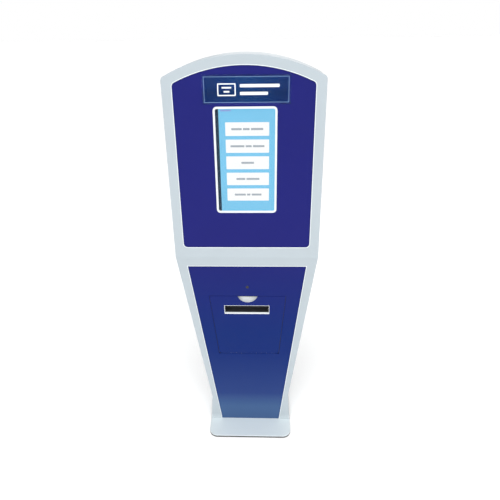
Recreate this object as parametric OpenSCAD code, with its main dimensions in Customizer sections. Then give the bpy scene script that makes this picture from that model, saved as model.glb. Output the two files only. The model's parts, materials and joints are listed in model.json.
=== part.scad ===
// Queue-ticket vending machine: a slim floor-standing kiosk.
// An arched head with a portrait touch screen leans back a little; a tapering pedestal with the
// ticket printer behind a drop-down door runs down to a waist and flares into a flat foot.
// Units are millimetres. X is across, -Y is the front, Z is up from the floor.

/* [Body] */
// Width across the head and the knee
body_w = 520; // [460:1:620]
// Height of the knee crease above the floor
knee_z = 919; // [800:1:1100]
// Length of the head's straight sides, measured up its leaning face
head_h = 617; // [590:1:740]
// Rise of the arched top above the shoulders
arch_rise = 67; // [50:1:90]
// Radius of the soft shoulders
shoulder_r = 14; // [6:1:22]
// Lean of the head face, backwards, in degrees
head_tilt = 2; // [0:0.5:8]
// Set-back of the pedestal face towards the floor, in degrees
lower_tilt = 6; // [3:0.5:8]
// Depth of the housing at the knee
knee_d = 192; // [175:1:230]
// How far the rear face moves forward from the knee to the top of the head
head_rear_run = 40; // [10:1:60]
// How far the rear face moves backward from the knee to the foot
lower_rear_run = 80; // [50:1:100]
// Width of the pedestal at its waist
waist_w = 340; // [300:1:400]
// Height of the waist above the floor
waist_z = 165; // [130:1:220]
// Radius that softens the outline at the waist
waist_r = 60; // [20:5:100]

/* [Foot] */
// Width of the foot
foot_w = 366; // [340:1:460]
// Depth of the foot, front to back
foot_d = 400; // [370:1:480]
// Height of the foot's top face
foot_h = 15; // [14:1:30]
// Radius of the foot's four corners
foot_r = 36; // [20:1:50]
// How far the foot's front edge stands ahead of the knee crease
foot_lead = 3; // [1:1:30]
// Thickness of the steel ballast plate
ballast_t = 8; // [5:0.5:9]
// Spacing of the floor anchors across
anchor_x = 220; // [160:5:240]
// Spacing of the floor anchors front to back
anchor_y = 90; // [60:5:100]
// Diameter of the anchor holes
anchor_hole_d = 13; // [9:1:16]

/* [Fascia] */
// Thickness of the painted sheet of the fascia
fascia_t = 2.5; // [2:0.25:4]
// Depth of the fascia's folded edge
fascia_d = 18; // [16:1:26]
// Border beside the head panel
head_border = 34; // [24:1:44]
// Rail between the knee crease and the head panel
head_rail = 40; // [28:1:56]
// Band above the head panel at the top of the arch
arch_band = 31; // [22:1:44]
// Corner radius of the head window
window_r = 14; // [6:1:24]
// Rail between the knee crease and the lower panel
lower_rail = 40; // [28:1:56]
// Width of the lower panel at its top
panel_top_w = 438; // [400:1:440]
// Width of the lower panel at the foot
panel_foot_w = 258; // [250:1:270]
// Overlap of each panel behind its window edge
seat = 8; // [5:1:10]
// Thickness of the blue acrylic panels
panel_t = 4; // [3:0.5:5]

/* [Shell] */
// Thickness of the sheet steel shells and doors
sheet_t = 2; // [1.5:0.25:3]
// Step from the fascia's outline in to the shells
shell_step = 1.5; // [0.5:0.25:2]

/* [Screen] */
// Width of the screen opening, portrait
screen_w = 193; // [180:1:200]
// Height of the screen opening
screen_h = 344; // [320:1:350]
// Height of the opening's lower edge above the knee, along the face
screen_s = 179; // [165:1:200]
// Sideways place of the screen's centre
screen_x = 3; // [-6:1:6]
// Width of the white trim round the screen
trim_w = 7; // [5:0.5:10]
// Corner radius of the screen opening
screen_r = 6; // [2:0.5:10]

/* [Sign] */
// Width of the printed sign
sign_w = 268; // [220:1:300]
// Height of the printed sign
sign_h = 78; // [60:1:84]
// Height of the sign's lower edge above the knee, along the face
sign_s = 542; // [540:1:548]
// Sideways place of the sign's centre
sign_x = 8; // [-10:1:10]
// Margin of the clear holder round the printed sign
sign_margin = 6; // [3:0.5:6]

/* [Printer door] */
// Distance of the door's top edge below the knee, along the face
door_top = 182; // [175:1:200]
// Distance of the hinge line below the knee, along the face
door_bottom = 486; // [470:1:520]
// Width of the door at its top edge
door_top_w = 295; // [270:1:310]
// Width of the door at its bottom edge
door_foot_w = 248; // [235:1:255]
// Seam round the door
door_gap = 1.5; // [1:0.25:2.5]
// Width of the finger notch
notch_w = 77; // [60:1:90]
// Depth of the finger notch
notch_h = 32; // [24:1:38]
// Width of the ticket slot
slot_w = 177; // [130:1:190]
// Height of the ticket slot
slot_h = 43; // [30:1:48]
// Distance of the slot's top edge below the knee, along the face
slot_top = 228; // [224:1:240]
// Sideways place of the ticket slot's centre
slot_x = -4; // [-8:1:8]
// Distance of the lock above the door's top edge
lock_rise = 44; // [38:1:56]
// Diameter of the lock's face
lock_d = 12; // [9:0.5:19]

/* [Rear doors] */
// Width of the pedestal's rear door
rear_door_w = 240; // [200:1:250]
// Height of the pedestal's rear door
rear_door_h = 560; // [480:1:600]
// Distance of the rear door's top edge below the knee
rear_door_top = 130; // [90:1:150]
// Width of the head's rear door
head_door_w = 380; // [320:1:400]
// Height of the head's rear door
head_door_h = 430; // [380:1:460]
// Distance of the head door's lower edge above the knee
head_door_s = 70; // [50:1:100]

/* [Hidden] */
$fn = 72;

// General clearances
fit = 0.5;          // panels and boards in their seats
return_t = 3;       // thickness of the fascia's folded edge
run = 0.05;         // radial clearance of a shaft in its bore
gap = 0.4;          // between pieces that move past each other

// Places worked out from the driving sizes
knee_y = -foot_d / 2 + foot_lead;
rear_y = knee_y + knee_d;
head_len = head_h + arch_rise;
top_z = knee_z + head_len * cos(head_tilt);
arch_r = (pow(body_w / 2, 2) + pow(arch_rise, 2)) / (2 * arch_rise);
arch_c = head_len - arch_r;
head_rear_a = atan(head_rear_run / (top_z - knee_z));
lower_rear_a = atan(lower_rear_run / (knee_z - foot_h));
waist_s = (knee_z - waist_z) / cos(lower_tilt);
foot_s = (knee_z - foot_h) / cos(lower_tilt);

// Layers of the front, measured outward from the fascia's face
panel_n = -fascia_t;                 // front of the blue panels
panel_back = panel_n - panel_t;      // back of the blue panels
carrier_t = 2;
carrier_n = panel_back - carrier_t;  // back of the steel carrier
cam_n = panel_back - 9;              // front of the printer door's lock cam

// Frames of reference: x across, y up the face, z out of it
module head_face() { translate([0, knee_y, knee_z]) rotate([90 - head_tilt, 0, 0]) children(); }
module lower_face() { translate([0, knee_y, knee_z]) rotate([90 + lower_tilt, 0, 0]) children(); }
module head_rear() { translate([0, rear_y, knee_z]) rotate([90 - head_rear_a, 0, 180]) children(); }
module lower_rear() { translate([0, rear_y, knee_z]) rotate([90 - lower_rear_a, 0, 180]) children(); }

// Height in the world of a distance s below the knee, and the front face's place there
function low_z(s) = knee_z - s * cos(lower_tilt);
function low_y(z) = knee_y + (knee_z - z) * tan(lower_tilt);
// Half width of the pedestal's outline at height z above the waist
function half_at(z) = body_w / 2 - (body_w - waist_w) / 2 * (knee_z - z) / (knee_z - waist_z);
// Place of the pedestal's rear face at height z
function rear_at(z) = rear_y + (knee_z - z) * tan(lower_rear_a);

// Points that round the corner at b between a and c with radius r
function unit(v) = v / norm(v);
function round_corner(a, b, c, r, steps = 8) =
    let (u = unit(a - b), v = unit(c - b), half = acos(u * v) / 2,
         o = b + unit(u + v) * r / sin(half), p = b + u * r / tan(half), q = b + v * r / tan(half),
         a0 = atan2(p[1] - o[1], p[0] - o[0]), a1 = atan2(q[1] - o[1], q[0] - o[0]),
         turn = (a1 - a0 + 540) % 360 - 180)
    [for (i = [0:steps]) o + r * [cos(a0 + turn * i / steps), sin(a0 + turn * i / steps)]];

// Solid block between two corners
module block(lo, hi) { translate(lo) cube(hi - lo); }

// Rectangle with round corners, about its centre line, standing on y = 0
module round_rect(w, h, r) {
    translate([-w / 2 + r, 0]) square([w - 2 * r, h]);
    translate([-w / 2, r]) square([w, h - 2 * r]);
    for (x = [-w / 2 + r, w / 2 - r], y = [r, h - r]) translate([x, y]) circle(r);
}

// Arched outline: straight sides of half width hw from y0 up, an arc of radius r round [0, arch_c]
module arch(hw, y0, r, corner, foot = 0) {
    side_y = arch_c + sqrt(pow(r - corner, 2) - pow(hw - corner, 2));
    meet_x = (hw - corner) * r / (r - corner);
    intersection() {
        translate([0, arch_c]) circle(r, $fn = 180);
        translate([-meet_x, y0 + foot]) square([2 * meet_x, head_len - y0 + 20]);
    }
    translate([-hw, y0 + foot]) square([2 * hw, side_y - y0 - foot]);
    for (x = [-1, 1]) translate([x * (hw - corner), side_y]) circle(corner);
    if (foot > 0) {
        translate([-hw + foot, y0]) square([2 * (hw - foot), foot + 1]);
        for (x = [-1, 1]) translate([x * (hw - foot), y0 + foot]) circle(foot);
    }
}

// Pedestal outline inset by t, with heights multiplied by k; it runs past the knee by over
module taper(t, k = 1, over = 0) {
    slope = (body_w - waist_w) / 2 / waist_s;
    flare = (foot_w - waist_w) / 2 / (foot_s - waist_s);
    drop = foot_s + 30;
    knee = [body_w / 2 - t, 0];
    waist = [waist_w / 2 - t, -waist_s * k];
    foot = [waist_w / 2 - t + flare * (drop - waist_s), -drop * k];
    side = concat([[knee[0], over], knee], round_corner(knee, waist, foot, waist_r), [foot]);
    polygon(concat(side, [for (i = [len(side) - 1:-1:0]) [-side[i][0], side[i][1]]]));
}

// Trapezoid from y0 down to y1 with half widths a and b
module trapezoid(a, y0, b, y1) { polygon([[-a, -y0], [a, -y0], [b, -y1], [-b, -y1]]); }
// Half width of the lower window at distance s below the knee
function window_half(s) =
    panel_top_w / 2 - (panel_top_w - panel_foot_w) / 2 * (s - lower_rail) / (foot_s - lower_rail);
function door_half(s) =
    door_top_w / 2 - (door_top_w - door_foot_w) / 2 * (s - door_top) / (door_bottom - door_top);

// Ring of evenly spaced places on the corners of a rectangle
module corners(w, h) { for (x = [-w / 2, w / 2], y = [-h / 2, h / 2]) translate([x, y, 0]) children(); }

// ---- Foot ----
module foot_outline(inset = 0) {
    w = foot_w - 2 * inset;
    translate([0, -foot_d / 2 + inset]) round_rect(w, foot_d - 2 * inset, foot_r - inset);
}

module anchor_holes(z0, z1) {
    translate([0, anchor_cy, 0]) corners(anchor_x, anchor_y)
        translate([0, 0, z0]) cylinder(d = anchor_hole_d, h = z1 - z0);
}
// Centre of the anchor pattern, inside the pedestal
anchor_cy = (low_y(foot_h) + fascia_d + rear_at(foot_h)) / 2;
rim_z = 2;

module foot_pan() {
    color("gainsboro") difference() {
        translate([0, 0, rim_z]) linear_extrude(foot_h - rim_z) foot_outline();
        translate([0, 0, -1]) linear_extrude(foot_h - sheet_t + 1) foot_outline(sheet_t);
        anchor_holes(0, foot_h + 1);
    }
}

module ballast_plate() {
    color("dimgray") difference() {
        translate([0, 0, foot_h - sheet_t - ballast_t])
            linear_extrude(ballast_t) foot_outline(sheet_t + fit);
        anchor_holes(0, foot_h);
    }
}

module foot_pads() {
    color("black") corners(foot_w - 90, foot_d - 90)
        cylinder(d = 46, h = foot_h - sheet_t - ballast_t);
}

base_t = 4;
module base_plate() {
    z1 = foot_h + base_t;
    hw = waist_w / 2 - shell_step - sheet_t - fit;
    color("silver") difference() {
        block([-hw, low_y(foot_h) + fascia_d + 1, foot_h], [hw, rear_at(z1) - sheet_t - 1, z1]);
        anchor_holes(foot_h - 1, z1 + 1);
    }
}

// ---- Fascia ----
module head_window(grow = 0) {
    arch(body_w / 2 - head_border + grow, head_rail - grow, arch_r - arch_band + grow,
         window_r + grow, window_r + grow);
}

module lower_window(grow = 0) {
    trapezoid(window_half(lower_rail) + grow, lower_rail - grow, window_half(foot_s) + grow, foot_s + 30);
}

module above_foot() { translate([-body_w, -foot_d, foot_h]) cube([2 * body_w, 2 * foot_d, top_z]); }

// Pieces drawn in side view as [y, z], and in front view as [x, height above the knee]
module from_side(w) { rotate([90, 0, 90]) translate([0, 0, -w / 2]) linear_extrude(w) children(); }
module from_front() {
    translate([0, foot_d, knee_z]) rotate([90, 0, 0]) linear_extrude(2 * foot_d) children();
}

// Block of the front's outline, inset by t: an upper and a lower half that overlap above the knee
module front_block(t) {
    half_from = 50;   // height above the knee at which the upper half starts
    from_front() arch(body_w / 2 - t, half_from, arch_r - t, shoulder_r - t);
    from_front() taper(t, cos(lower_tilt), half_from + 1);
}

// Side view of the bent front between two depths behind its face
module bent_slab(d0, d1) {
    half_bend = (head_tilt + lower_tilt) / 2;
    mitre = [cos(half_bend - head_tilt), sin(half_bend - head_tilt)] / cos(half_bend);
    top_y = knee_y + (top_z + 1 - knee_z) * tan(head_tilt);
    polygon([
        [low_y(foot_h) + d0 / cos(lower_tilt), foot_h], [knee_y, knee_z] + d0 * mitre,
        [top_y + d0 / cos(head_tilt), top_z + 1], [top_y + d1 / cos(head_tilt), top_z + 1],
        [knee_y, knee_z] + d1 * mitre, [low_y(foot_h) + d1 / cos(lower_tilt), foot_h]
    ]);
}

module front_frame() {
    color("gainsboro") difference() {
        intersection() {
            from_side(2 * body_w) bent_slab(0, fascia_d);
            front_block(0);
        }
        intersection() {
            from_side(2 * body_w) bent_slab(fascia_t, 2 * fascia_d);
            front_block(return_t);
        }
        head_face() translate([0, 0, -fascia_t - 1]) linear_extrude(fascia_t + 2) head_window();
        lower_face() translate([0, 0, -fascia_t - 1]) linear_extrude(fascia_t + 2) lower_window();
    }
}

module head_panel() {
    color("midnightblue") head_face() difference() {
        translate([0, 0, panel_back]) linear_extrude(panel_t) head_window(seat);
        translate([screen_x, screen_s - trim_neck - fit, panel_back - 1]) linear_extrude(panel_t + 2)
            round_rect(
                screen_w + 2 * (trim_neck + fit), screen_h + 2 * (trim_neck + fit), screen_r + trim_neck);
    }
}

// Opening in the fixed lower panel for the printer door and its hinge
module door_opening(inset = 0) {
    trapezoid(door_half(door_top) + door_gap - inset, door_top - door_gap + inset,
              door_half(door_bottom) + door_gap - inset, door_bottom + hinge_r + gap - inset);
}

module lower_panel() {
    color("midnightblue") intersection() {
        lower_face() difference() {
            translate([0, 0, panel_back]) linear_extrude(panel_t) lower_window(seat);
            translate([0, 0, panel_back - 1]) linear_extrude(panel_t + 2) door_opening();
            translate([0, -door_top + lock_rise, panel_back - 1])
                cylinder(d = lock_d + 0.4, h = panel_t + 2);
        }
        above_foot();
    }
}

// Steel carrier behind the lower panel: it stops the door and holds the hinge and the lock
carrier_step = 4;
module carrier() {
    color("silver") lower_face() difference() {
        translate([0, 0, carrier_n]) linear_extrude(carrier_t)
            trapezoid(
                window_half(door_top - 80), door_top - 80, window_half(door_bottom + 60), door_bottom + 60);
        translate([0, 0, carrier_n - 1]) linear_extrude(carrier_t + 2)
            trapezoid(door_half(door_top) - carrier_step, door_top + carrier_step,
                      door_half(door_bottom) - carrier_step, door_bottom + hinge_r + gap);
        translate([0, -door_top + lock_rise, carrier_n - 1]) cylinder(d = lock_d + 0.4, h = carrier_t + 2);
        translate([-hinge_len / 2 - fit, -door_bottom - hinge_leaf - fit, panel_back - 1.2])
            cube([hinge_len + 2 * fit, hinge_leaf + hinge_r + fit + 1, 2]);
    }
}

// ---- Shells ----
edge_y = fascia_d / cos(lower_tilt);    // depth of the fascia's edge along y
module above_profile(t) {
    // Side view of the head's housing, as [y, z] points
    front = knee_y + edge_y;
    polygon([[front, knee_z], [rear_y - t, knee_z], [rear_y - head_rear_run - t, top_z + 1],
             [front + (top_z + 1 - knee_z) * tan(head_tilt), top_z + 1]]);
}
module below_profile(t) {
    polygon([[knee_y + edge_y, knee_z], [rear_y - t, knee_z], [rear_at(foot_h) - t, foot_h],
             [low_y(foot_h) + edge_y, foot_h]]);
}

module head_hollow(t) {
    // The head's housing inset by t, open at the front and the knee
    difference() {
        from_front() arch(body_w / 2 - shell_step - t, -30, arch_r - shell_step - t - 0.6, shoulder_r - t);
        head_rear() translate([-body_w, -100, -t]) cube([2 * body_w, 2 * head_len, body_w]);
    }
}

vent_w = 70;

module head_shell() {
    color("gainsboro") difference() {
        intersection() {
            from_side(2 * body_w) above_profile(0);
            head_hollow(0);
        }
        head_hollow(sheet_t);
        head_rear() translate([0, head_door_s + 14, -sheet_t - 1])
            linear_extrude(sheet_t + 2) round_rect(head_door_w - 44, head_door_h - 28, 6);
    }
}

module pedestal_hollow(t) {
    intersection() {
        from_front() taper(shell_step + t, cos(lower_tilt), 30);
        lower_rear() translate([-body_w, -2 * foot_s, -2 * foot_d - t])
            cube([2 * body_w, 3 * foot_s, 2 * foot_d]);
    }
}

module rear_window() { round_rect(rear_door_w - 44, rear_door_h - 28, 6); }

module pedestal_shell() {
    color("gainsboro") difference() {
        intersection() {
            from_side(2 * body_w) below_profile(0);
            pedestal_hollow(0);
        }
        pedestal_hollow(sheet_t);
        lower_rear() translate([0, -rear_door_top - rear_door_h + 14, -sheet_t - 1])
            linear_extrude(sheet_t + 2) rear_window();
        inlet_place() translate([-inlet_w / 2, -inlet_h / 2, -sheet_t - 1])
            cube([inlet_w, inlet_h, sheet_t + 2]);
        switch_place() translate([-switch_w / 2, -switch_h / 2, -sheet_t - 1])
            cube([switch_w, switch_h, sheet_t + 2]);
    }
}

// ---- Screen ----
trim_neck = 4;
module screen_opening(grow) { round_rect(screen_w + 2 * grow, screen_h + 2 * grow, screen_r + grow); }
module on_screen(grow) { translate([screen_x, screen_s - grow, 0]) children(); }
glass_t = 3;
glass_margin = 11;
lcd_t = 10;
lcd_n = panel_back - glass_t;
bracket_n = lcd_n - lcd_t - carrier_t;

module screen_trim() {
    color("white") head_face() difference() {
        union() {
            on_screen(trim_w) translate([0, 0, panel_n]) linear_extrude(1.6) screen_opening(trim_w);
            on_screen(trim_neck) translate([0, 0, panel_back])
                linear_extrude(panel_t + 1) screen_opening(trim_neck);
        }
        on_screen(0) translate([0, 0, panel_back - 1]) linear_extrude(panel_t + 4) screen_opening(0);
    }
}

module touch_glass() {
    color([0.6, 0.75, 0.8, 0.4]) head_face() on_screen(glass_margin) translate([0, 0, lcd_n])
        linear_extrude(glass_t) screen_opening(glass_margin);
}

module lcd_module() {
    color("black") head_face() on_screen(glass_margin - 3) translate([0, 0, lcd_n - lcd_t])
        linear_extrude(lcd_t) screen_opening(glass_margin - 3);
}

stud_x = screen_w + 2 * glass_margin + 20;
stud_h = screen_h - 60;
module on_bracket() { head_face() translate([screen_x, screen_s + screen_h / 2, bracket_n]) children(); }

module lcd_bracket() {
    color("silver") on_bracket() difference() {
        union() {
            translate([-stud_x / 2 - 9, -screen_h / 2 - 10, 0])
                cube([stud_x + 18, screen_h + 20, carrier_t]);
            corners(stud_x, stud_h) cylinder(d = 9, h = panel_back - bracket_n);
        }
        translate([-40, 80, -1]) cube([80, 45, carrier_t + 2]);
    }
}

board_gap = 8;
board_t = 1.6;
module driver_board() {
    color("darkgreen") on_bracket() translate([0, 105, -board_gap - board_t]) union() {
        translate([-62, -42, 0]) cube([124, 84, board_t]);
        translate([-50, -30, -7]) cube([22, 14, 7]);
        translate([-10, -34, -9]) cube([30, 12, 9]);
        translate([28, 4, -4]) cube([18, 18, 4]);
        corners(110, 70) translate([0, 0, board_t]) cylinder(d = 5, h = board_gap);
    }
}

pc_w = 170;
pc_h = 130;
pc_t = 38;
module mini_pc() {
    color("dimgray") on_bracket() translate([-pc_w / 2, -130, -pc_t]) difference() {
        cube([pc_w, pc_h, pc_t]);
        for (i = [0:14]) translate([8 + i * 10.7, -1, -1]) cube([4, pc_h + 2, 11]);
    }
}

// ---- Sign ----
module sign_print() {
    color("navy") head_face() translate([sign_x - sign_w / 2, sign_s, panel_n]) cube([sign_w, sign_h, 0.5]);
}

module sign_holder() {
    color([0.7, 0.8, 0.9, 0.35]) head_face() difference() {
        translate([sign_x, sign_s - sign_margin, panel_n])
            linear_extrude(3) round_rect(sign_w + 2 * sign_margin, sign_h + 2 * sign_margin, 3);
        translate([sign_x - sign_w / 2, sign_s, panel_n - 1]) cube([sign_w, sign_h, 1.5]);
    }
}

// ---- Printer door ----
hinge_r = 2.5;
hinge_n = panel_back + 1.5;
hinge_len = 2 * (door_half(door_bottom) - 6);
hinge_leaf = 18;
hinge_pin_r = 1;
knuckles = 11;

module hinge_line() { lower_face() translate([0, -door_bottom, hinge_n]) children(); }

// Knuckles along x, every second one from the first given, with a leaf towards side (+1 up, -1 down)
module piano_half(first, side) {
    pitch = hinge_len / knuckles;
    difference() {
        union() {
            for (i = [first:2:knuckles - 1]) translate([-hinge_len / 2 + i * pitch + gap / 2, 0, 0]) {
                rotate([0, 90, 0]) cylinder(r = hinge_r, h = pitch - gap);
                translate([0, min(0, side * (hinge_r + gap + 1)), -hinge_r])
                    cube([pitch - gap, hinge_r + gap + 1, 1]);
            }
            translate([-hinge_len / 2, side > 0 ? hinge_r + gap : -hinge_leaf, -hinge_r])
                cube([hinge_len, hinge_leaf - hinge_r - gap, 1]);
        }
        translate([-hinge_len, 0, 0]) rotate([0, 90, 0]) cylinder(r = hinge_pin_r + run, h = 2 * hinge_len);
    }
}

module hinge_fixed() { color("midnightblue") hinge_line() piano_half(0, -1); }
module hinge_moving() { color("midnightblue") hinge_line() piano_half(1, 1); }
module hinge_pin() {
    color("silver") hinge_line() translate([-hinge_len / 2 + gap / 2, 0, 0])
        rotate([0, 90, 0]) cylinder(r = hinge_pin_r, h = hinge_len - gap);
}

notch_r = (pow(notch_w / 2, 2) + pow(notch_h, 2)) / (2 * notch_h);
module notch_cut(grow, z0, z1) {
    translate([0, -door_top - notch_h + notch_r, z0]) cylinder(r = notch_r + grow, h = z1 - z0);
}
module slot_cut(grow, z0, z1) {
    translate([slot_x - slot_w / 2 - grow, -slot_top - slot_h - grow, z0])
        cube([slot_w + 2 * grow, slot_h + 2 * grow, z1 - z0]);
}

module door_outline(inset = 0) {
    trapezoid(door_half(door_top) - inset, door_top + inset,
              door_half(door_bottom) - inset, door_bottom - hinge_r - gap - inset);
}

module door_skin() {
    color("midnightblue") lower_face() difference() {
        translate([0, 0, panel_back]) linear_extrude(panel_t) door_outline();
        notch_cut(0, panel_back - 1, panel_n + 1);
        slot_cut(0, panel_back - 1, panel_n + 1);
    }
}

tray_t = 1.5;
tray_n = panel_back - 14;
cup_n = panel_back - 7;
tray_inset = carrier_step + 2;
module door_tray() {
    color("white") lower_face() difference() {
        translate([0, 0, tray_n]) linear_extrude(panel_back - tray_n) door_outline(tray_inset);
        translate([0, 0, tray_n - 1]) linear_extrude(panel_back - tray_n - tray_t + 1)
            door_outline(tray_inset + tray_t);
        notch_cut(5, tray_n - 1, panel_back + 1);
        slot_cut(2, tray_n - 1, panel_back + 1);
        // room for the hinge leaf
        translate([-hinge_len / 2 - fit, -door_bottom, panel_back - 1])
            cube([hinge_len + 2 * fit, hinge_leaf + fit, 2]);
    }
}

// White finger cup behind the notch, with the hook behind it that the lock's cam holds
hook_drop = 18;
hook_n = cam_n - 4.5;
module finger_cup() {
    color("white") lower_face() union() {
        difference() {
            intersection() {
                notch_cut(4.6, cup_n, panel_back);
                translate([-body_w, -door_top - body_w - tray_inset, cup_n]) cube([2 * body_w, body_w, 20]);
            }
            notch_cut(3, cup_n + 1.5, panel_back + 1);
        }
        translate([-12, -door_top - hook_drop, hook_n]) cube([24, 2, cup_n - hook_n]);
        translate([-12, -door_top - hook_drop, hook_n]) cube([24, hook_drop - tray_inset - 1, 1.5]);
    }
}

// White liner of the ticket slot and the black mouth behind it
module slot_liner() {
    color("white") lower_face() difference() {
        slot_cut(-0.1, panel_back - 6, panel_n - 0.3);
        slot_cut(-1.6, panel_back - 7, panel_n + 1);
    }
}

mouth_n = panel_back - 34;
module ticket_mouth() {
    color("black") lower_face() difference() {
        slot_cut(1.9, mouth_n, panel_back - 6);
        slot_cut(-0.1, mouth_n + 2, panel_back - 5);
        translate([-45, -slot_top - 22, mouth_n - 1]) cube([90, 8, 4]);
    }
}

// ---- Lock of the printer door, turning in the fixed panel, drawn unlocked ----
module lock_line() { lower_face() translate([0, -door_top + lock_rise, 0]) children(); }
module lock_body() {
    color("midnightblue") lock_line() difference() {
        union() {
            translate([0, 0, carrier_n - 0.5]) cylinder(d = lock_d, h = panel_n + 0.4 - carrier_n + 0.5);
            translate([0, 0, cam_n + 4.5]) cylinder(d = lock_d + 8, h = carrier_n - cam_n - 4.5);
        }
        translate([0, 0, cam_n]) cylinder(d = lock_d - 3, h = 30);
    }
}
module lock_plug() {
    color("black") lock_line() difference() {
        translate([0, 0, cam_n]) cylinder(d = lock_d - 3 - 2 * run, h = panel_n + 0.2 - cam_n);
        translate([-0.6, -2.2, panel_n - 5]) cube([1.2, 4.4, 8]);
    }
}
cam_len = lock_rise + hook_drop - 5;
module lock_cam() {
    color("silver") lock_line() translate([0, 0, cam_n - 0.1]) union() {
        translate([0, -6, -2]) cube([cam_len - 6, 12, 2]);
        translate([cam_len - 6, 0, -2]) cylinder(r = 6, h = 2);
        translate([0, 0, -2]) cylinder(r = 9, h = 2);
        translate([0, 0, -6]) cylinder(r = 5, h = 4);
    }
}

// ---- Rear doors, hinged on the viewer's left from behind ----
gasket_t = 1;
barrel_r = 3.5;
barrel_pin_r = 1.5;
barrel_len = 60;
leaf_t = 1.5;
leaf_w = 22;
hinge_out = gasket_t + sheet_t + leaf_t;   // height of the hinge's axis above the rear face
hinge_side = 6;                            // distance of the axis from the door's edge

// Half of one butt hinge, its axis along y: part 0 is fixed, part 1 moves, part 2 is the pin
module butt_hinge(part) {
    third = barrel_len / 3;
    if (part == 2) translate([0, gap / 2, 0]) rotate([-90, 0, 0])
        cylinder(r = barrel_pin_r, h = barrel_len - gap);
    else difference() {
        union() {
            for (i = part == 0 ? [0, 2] : [1]) translate([0, i * third + gap / 2, 0]) {
                rotate([-90, 0, 0]) cylinder(r = barrel_r, h = third - gap);
                if (part == 0) translate([-barrel_r - gap - 1, 0, -hinge_out])
                    cube([barrel_r + gap + 1, third - gap, leaf_t]);
                if (part == 0) translate([-2, 0, -hinge_out]) cube([4, third - gap, hinge_out - 1]);
                if (part == 1) translate([0, 0, -leaf_t]) cube([hinge_side + 2, third - gap, leaf_t]);
            }
            if (part == 0) translate([-leaf_w, 0, -hinge_out])
                cube([leaf_w - barrel_r - gap, barrel_len, leaf_t]);
            if (part == 1) translate([hinge_side, 0, -leaf_t])
                cube([leaf_w - hinge_side, barrel_len, leaf_t]);
        }
        translate([0, -1, 0]) rotate([-90, 0, 0]) cylinder(r = barrel_pin_r + run, h = barrel_len + 2);
    }
}

// Two hinges beside a door of width w whose lower edge is at y0
module door_hinges(part, w, h, y0) {
    for (y = [y0 + 50, y0 + h - 50 - barrel_len])
        translate([-w / 2 - hinge_side, y, hinge_out]) butt_hinge(part);
}

// Door leaf with a folded edge into the opening, on the rear face's frame
module rear_leaf(w, h, y0) {
    inset = 24;
    translate([0, y0, gasket_t]) linear_extrude(sheet_t) round_rect(w, h, 4);
    difference() {
        translate([0, y0 + inset, -8]) linear_extrude(8 + gasket_t)
            round_rect(w - 2 * inset - 8, h - 2 * inset, 4);
        translate([0, y0 + inset + sheet_t, -9])
            linear_extrude(20) round_rect(w - 2 * inset - 8 - 2 * sheet_t, h - 2 * inset - 2 * sheet_t, 2);
    }
}
module rear_gasket(w, h, y0) {
    linear_extrude(gasket_t) difference() {
        translate([0, y0 + 4]) round_rect(w - 8, h - 8, 4);
        translate([0, y0 + 14]) round_rect(w - 44, h - 28, 6);
    }
}

// Quarter-turn lock on a rear door: part 0 is the housing, part 1 the plug with its cam
rear_lock_d = 19;
module rear_lock(part) {
    if (part == 0) difference() {
        union() {
            translate([0, 0, gasket_t + sheet_t]) cylinder(d = rear_lock_d + 5, h = 2);
            translate([0, 0, -7]) cylinder(d = rear_lock_d, h = gasket_t + sheet_t + 7);
        }
        translate([0, 0, -8]) cylinder(d = rear_lock_d - 5, h = 20);
    }
    if (part == 1) {
        difference() {
            translate([0, 0, -8.5])
                cylinder(d = rear_lock_d - 5 - 2 * run, h = gasket_t + sheet_t + 2 + 8.5);
            translate([-0.8, -3.5, gasket_t + sheet_t]) cube([1.6, 7, 4]);
        }
        translate([-7, -7, -11]) cube([14, 35, 2.5]);
    }
}

lower_door_y = -rear_door_top - rear_door_h;
lock_in = 26;    // from a rear door's free edge to its lock
module lower_lock_place() {
    lower_rear() translate([rear_door_w / 2 - lock_in - 14, lower_door_y + rear_door_h / 2, 0]) children();
}
module head_lock_place() {
    head_rear() translate([head_door_w / 2 - lock_in - 14, head_door_s + head_door_h / 2, 0]) children();
}

module lower_rear_door() {
    color("gainsboro") difference() {
        lower_rear() rear_leaf(rear_door_w, rear_door_h, lower_door_y);
        lower_lock_place() translate([0, 0, -20]) cylinder(d = rear_lock_d + 0.2, h = 40);
        lower_rear() for (i = [0:7]) translate([-40, lower_door_y + 60 + i * 12, -1]) cube([80, 4, 10]);
    }
}
module lower_lock_plug() { color("silver") lower_lock_place() rear_lock(1); }

fan_w = 80;
module fan_place() { head_rear() translate([-60, head_door_s + head_door_h - 110, 0]) children(); }
module head_rear_door() {
    color("gainsboro") difference() {
        head_rear() rear_leaf(head_door_w, head_door_h, head_door_s);
        head_lock_place() translate([0, 0, -20]) cylinder(d = rear_lock_d + 0.2, h = 40);
        // slots in front of the fan, and a lower field of intake slots
        fan_place() for (i = [-3:3]) translate([-31, i * 9 - 2, -1]) cube([62, 4, 10]);
        head_rear() for (x = [-95, 25], i = [0:7])
            translate([x, head_door_s + 50 + i * 12, -1]) cube([vent_w, 4, 10]);
    }
}
module head_lock_plug() { color("silver") head_lock_place() rear_lock(1); }

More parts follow.
